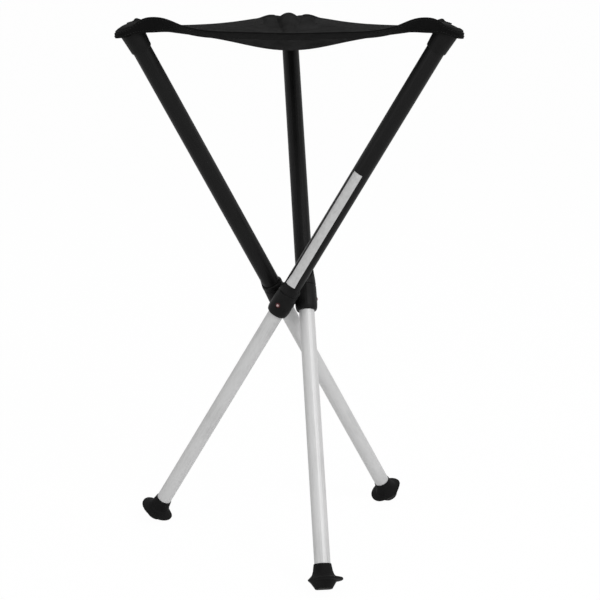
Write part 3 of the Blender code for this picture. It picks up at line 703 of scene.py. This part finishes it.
def moulded(name, dark, light, roughness, grain_scale, grain_depth, specular=0.16):
    """Moulded plastic or rubber: fine grain, and dull patches where it is rubbed."""
    material, tree, shader = new_material(name, roughness, specular=specular)
    place = place_of(tree)
    patches = noise(tree, place, 60.0, 5.0)
    grain = noise(tree, place, grain_scale, 2.0)
    paint(tree, shader, patches, 0.35, 0.7, dark, light)
    spread = remap(tree, patches, 0.3, 0.7, roughness - 0.06, roughness + 0.08)
    tree.links.new(spread, shader.inputs["Roughness"])
    bump(tree, shader, grain, grain_depth)
    return material


def tube_finish(name, number, dark, light, roughness, metallic, specular):
    """Drawn tube: fine lines along the leg, which a satin finish softens."""
    material, tree, shader = new_material(name, roughness, metallic, specular)
    turn = Matrix.Rotation(leg_azimuth(number), 3, "Z") @ Matrix.Rotation(-LEG_TILT, 3, "X")
    inputs = {"Vector": place_of(tree), "Rotation": turn.inverted().to_euler()}
    along = node(tree, "Mapping", inputs, vector_type="POINT").outputs["Vector"]
    inputs = {"Vector": along, "Scale": (1.0, 1.0, 0.02)}
    drawn = node(tree, "Mapping", inputs, vector_type="POINT").outputs["Vector"]
    lines = noise(tree, drawn, 900.0, 3.0)
    patches = noise(tree, along, 22.0, 4.0)
    both = combined(tree, "ADD", lines, patches)
    paint(tree, shader, both, 0.7, 1.3, dark, light)
    spread = remap(tree, patches, 0.3, 0.7, roughness - 0.04, roughness + 0.05)
    tree.links.new(spread, shader.inputs["Roughness"])
    bump(tree, shader, lines, 0.00002, 0.5)
    return material


def webbing_finish(name):
    """Woven band: ribs across it and a finer line along it."""
    material, tree, shader = new_material(name, 0.85, specular=0.05)
    cloth = node(tree, "UVMap", uv_map="cloth").outputs["UV"]
    ribs = waves(tree, cloth, "X", 260.0, 0.6)
    fine = waves(tree, cloth, "Y", 420.0, 0.4)
    weave = combined(tree, "MULTIPLY", ribs, fine)
    level = combined(tree, "MULTIPLY", weave, noise(tree, place_of(tree), 45.0, 4.0))
    paint(tree, shader, level, 0.0, 0.6, grey(0.002), grey(0.008))
    shader.inputs["Sheen Weight"].default_value = 0.03
    shader.inputs["Sheen Roughness"].default_value = 0.5
    bump(tree, shader, weave, 0.00025)
    return material


def mesh_finish(name):
    """Knitted mesh: threads on two slants with small openings between them, the threads lighter in
    patches as painted glints.
    """
    material, tree, shader = new_material(name, 0.9, specular=0.03)
    cloth = node(tree, "UVMap", uv_map="cloth").outputs["UV"]
    inputs = {"Vector": cloth, "Rotation": (0.0, 0.0, math.radians(45.0))}
    turned = node(tree, "Mapping", inputs).outputs["Vector"]
    slants = [waves(tree, turned, direction, 130.0, 0.5, 2.0) for direction in "XY"]
    threads = combined(tree, "MAXIMUM", *slants)
    # painted glints over the weave pattern: the threads are painted lighter where the noise is
    # high
    level = combined(tree, "MULTIPLY", threads, noise(tree, place_of(tree), 35.0, 4.0))
    paint(tree, shader, level, 0.1, 0.6, grey(0.003), grey(0.022))
    bump(tree, shader, threads, 0.0005)
    return material


def simple_finish(
    name, dark, light, roughness, metallic=0.0, specular=0.5, scale=400.0, depth=0.00003
):
    material, tree, shader = new_material(name, roughness, metallic, specular)
    patches = noise(tree, place_of(tree), scale, 3.0)
    paint(tree, shader, patches, 0.3, 0.7, dark, light)
    bump(tree, shader, patches, depth)
    return material


def dress(node_name, material):
    item = frame["nodes"][node_name]
    item.data.materials.clear()
    item.data.materials.append(material)


def finish_frame():
    plastic = moulded("plastic", grey(0.0035), grey(0.007), 0.48, 1400.0, 0.00006, 0.1)
    rubber = moulded("rubber", grey(0.004), grey(0.008), 0.72, 900.0, 0.00012, 0.08)
    collar = moulded("collar_plastic", grey(0.004), grey(0.007), 0.5, 1400.0, 0.00006, 0.1)
    cap_plastic = moulded("cap_plastic", grey(0.0035), grey(0.006), 0.8, 1400.0, 0.00006, 0.04)
    nylon = moulded("nylon", grey(0.04), grey(0.06), 0.5, 1200.0, 0.00004)
    steel = simple_finish("steel", grey(0.5), grey(0.62), 0.3, 1.0)
    button = simple_finish("button_metal", (0.36, 0.25, 0.25), (0.46, 0.33, 0.33), 0.4, 0.2, 0.3)
    reds = (0.035, 0.006, 0.007), (0.06, 0.009, 0.010)
    ring = simple_finish("ring_plastic", *reds, 0.4, 0.0, 0.16)
    label = simple_finish("label_foil", grey(0.42), grey(0.50), 0.45, 0.2, 0.3, 150.0, 0.00001)
    finishes = {
        "knuckle": plastic,
        "seat_collar": collar,
        "foot": rubber,
        "button_bezel": ring,
        "lock_button": button,
        "tube_plug": nylon,
        "pivot_washer": nylon,
        "snap_spring": steel,
        "pivot_pin": steel,
    }
    for number in LEGS:
        black = grey(0.004), grey(0.007), 0.42, 0.0, 0.1
        silver = grey(0.46), grey(0.54), 0.5, 0.2, 0.3
        dress(f"upper_tube_{number}", tube_finish(f"black_tube_{number}", number, *black))
        dress(f"lower_tube_{number}", tube_finish(f"silver_tube_{number}", number, *silver))
        cap = leg_cap(f"cap_{number}", number, cap_plastic)
        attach(cap, f"leg_{number}")
        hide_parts(f"leg_cap_{number}")
        for kind, material in finishes.items():
            dress(f"{kind}_{number}", material)
    dress("hub_block", nylon)
    dress("label_plate", label)


# Seat


def build_seat():
    webbing = webbing_finish("webbing")
    thread = simple_finish("thread", grey(0.006), grey(0.014), 0.6, specular=0.2)
    sheet = seat_sheet("seat_cloth", mesh_finish("mesh_cloth"))
    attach(sheet, "hub")
    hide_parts("seat_mesh")
    sewn = []
    for number in LEGS:
        stations = hem_stations(number)
        hem = band_mesh(f"hem_band_{number}", stations, webbing)
        rows = stitch_rows(f"hem_stitches_{number}", stations, thread)
        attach(hem, "hub")
        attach(rows, "hub")
        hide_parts(f"seat_hem_{number}")
        stations = loop_stations(number)
        loop = band_mesh(f"loop_band_{number}", stations, webbing)
        loop_rows = stitch_rows(f"loop_stitches_{number}", stations, thread, sides=(1,))
        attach(loop, f"leg_{number}")
        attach(loop_rows, f"leg_{number}")
        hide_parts(f"corner_loop_{number}")
        sewn += [hem, rows]


# Studio


def set_camera():
    turn = Matrix.Rotation(CAMERA_TURN, 3, "Z")
    level = math.cos(CAMERA_PITCH)
    forward = (math.sin(CAMERA_YAW) * level, math.cos(CAMERA_YAW) * level, -math.sin(CAMERA_PITCH))
    back = -(turn @ Vector(forward))
    right = UP.cross(back).normalized()
    axes = Matrix((right, back.cross(right), back)).transposed()
    axes = axes @ Matrix.Rotation(CAMERA_ROLL, 3, "Z")
    data = bpy.data.cameras.new("camera")
    data.lens = CAMERA_LENS
    data.sensor_width = CAMERA_SENSOR
    camera = bpy.data.objects.new("camera", data)
    bpy.context.scene.collection.objects.link(camera)
    place = HUB + turn @ Vector((0.0, -CAMERA_BACK, 0.0)) + UP * CAMERA_ABOVE_HUB
    camera.matrix_world = Matrix.Translation(place) @ axes.to_4x4()
    bpy.context.scene.camera = camera


def add_lamp(name, place, size, power):
    """A soft square lamp that faces the middle of the stool."""
    data = bpy.data.lights.new(name, "AREA")
    data.shape = "SQUARE"
    data.size = size
    data.energy = power
    lamp = bpy.data.objects.new(name, data)
    bpy.context.scene.collection.objects.link(lamp)
    lamp.location = place
    lamp.rotation_euler = (Vector(LAMP_TARGET) - place).to_track_quat("-Z", "Y").to_euler()


def emptied(owner):
    """The node tree of a material or world, with nothing in it."""
    owner.use_nodes = True
    owner.node_tree.nodes.clear()
    return owner.node_tree


def seen_white(tree, shown, other):
    """White where the camera, a gloss or glass looks, and other elsewhere."""
    rays = node(tree, "LightPath").outputs
    first = combined(tree, "MAXIMUM", rays["Is Camera Ray"], rays["Is Glossy Ray"])
    seen = combined(tree, "MAXIMUM", first, rays["Is Transmission Ray"])
    return node(tree, "MixShader", {0: seen, 1: other, 2: shown}).outputs["Shader"]


def build_studio():
    scene = bpy.context.scene
    scene.view_settings.view_transform = "Standard"
    world = bpy.data.worlds.new("studio")
    scene.world = world
    tree = emptied(world)
    white = node(tree, "Background", {"Color": WHITE, "Strength": 1.0}).outputs["Background"]
    fill = node(tree, "Background", {"Color": WHITE, "Strength": FILL}).outputs["Background"]
    output = node(tree, "OutputWorld")
    tree.links.new(seen_white(tree, white, fill), output.inputs["Surface"])

    bpy.ops.mesh.primitive_plane_add(size=FLOOR_SIZE)
    floor = bpy.context.object
    floor.name = "studio_floor"
    material = bpy.data.materials.new("studio_floor")
    tree = emptied(material)
    plain = node(tree, "BsdfDiffuse", {"Color": WHITE}).outputs["BSDF"]
    bright = node(tree, "Emission", {"Color": WHITE, "Strength": 1.0}).outputs["Emission"]
    shown = node(tree, "MixShader", {0: FLOOR_GLOW, 1: plain, 2: bright}).outputs["Shader"]
    output = node(tree, "OutputMaterial")
    tree.links.new(seen_white(tree, shown, plain), output.inputs["Surface"])
    floor.data.materials.append(material)

    for name, place, size, power in LAMPS:
        add_lamp(name, Vector(place), size, power)


finish_frame()
build_seat()
build_studio()
set_camera()
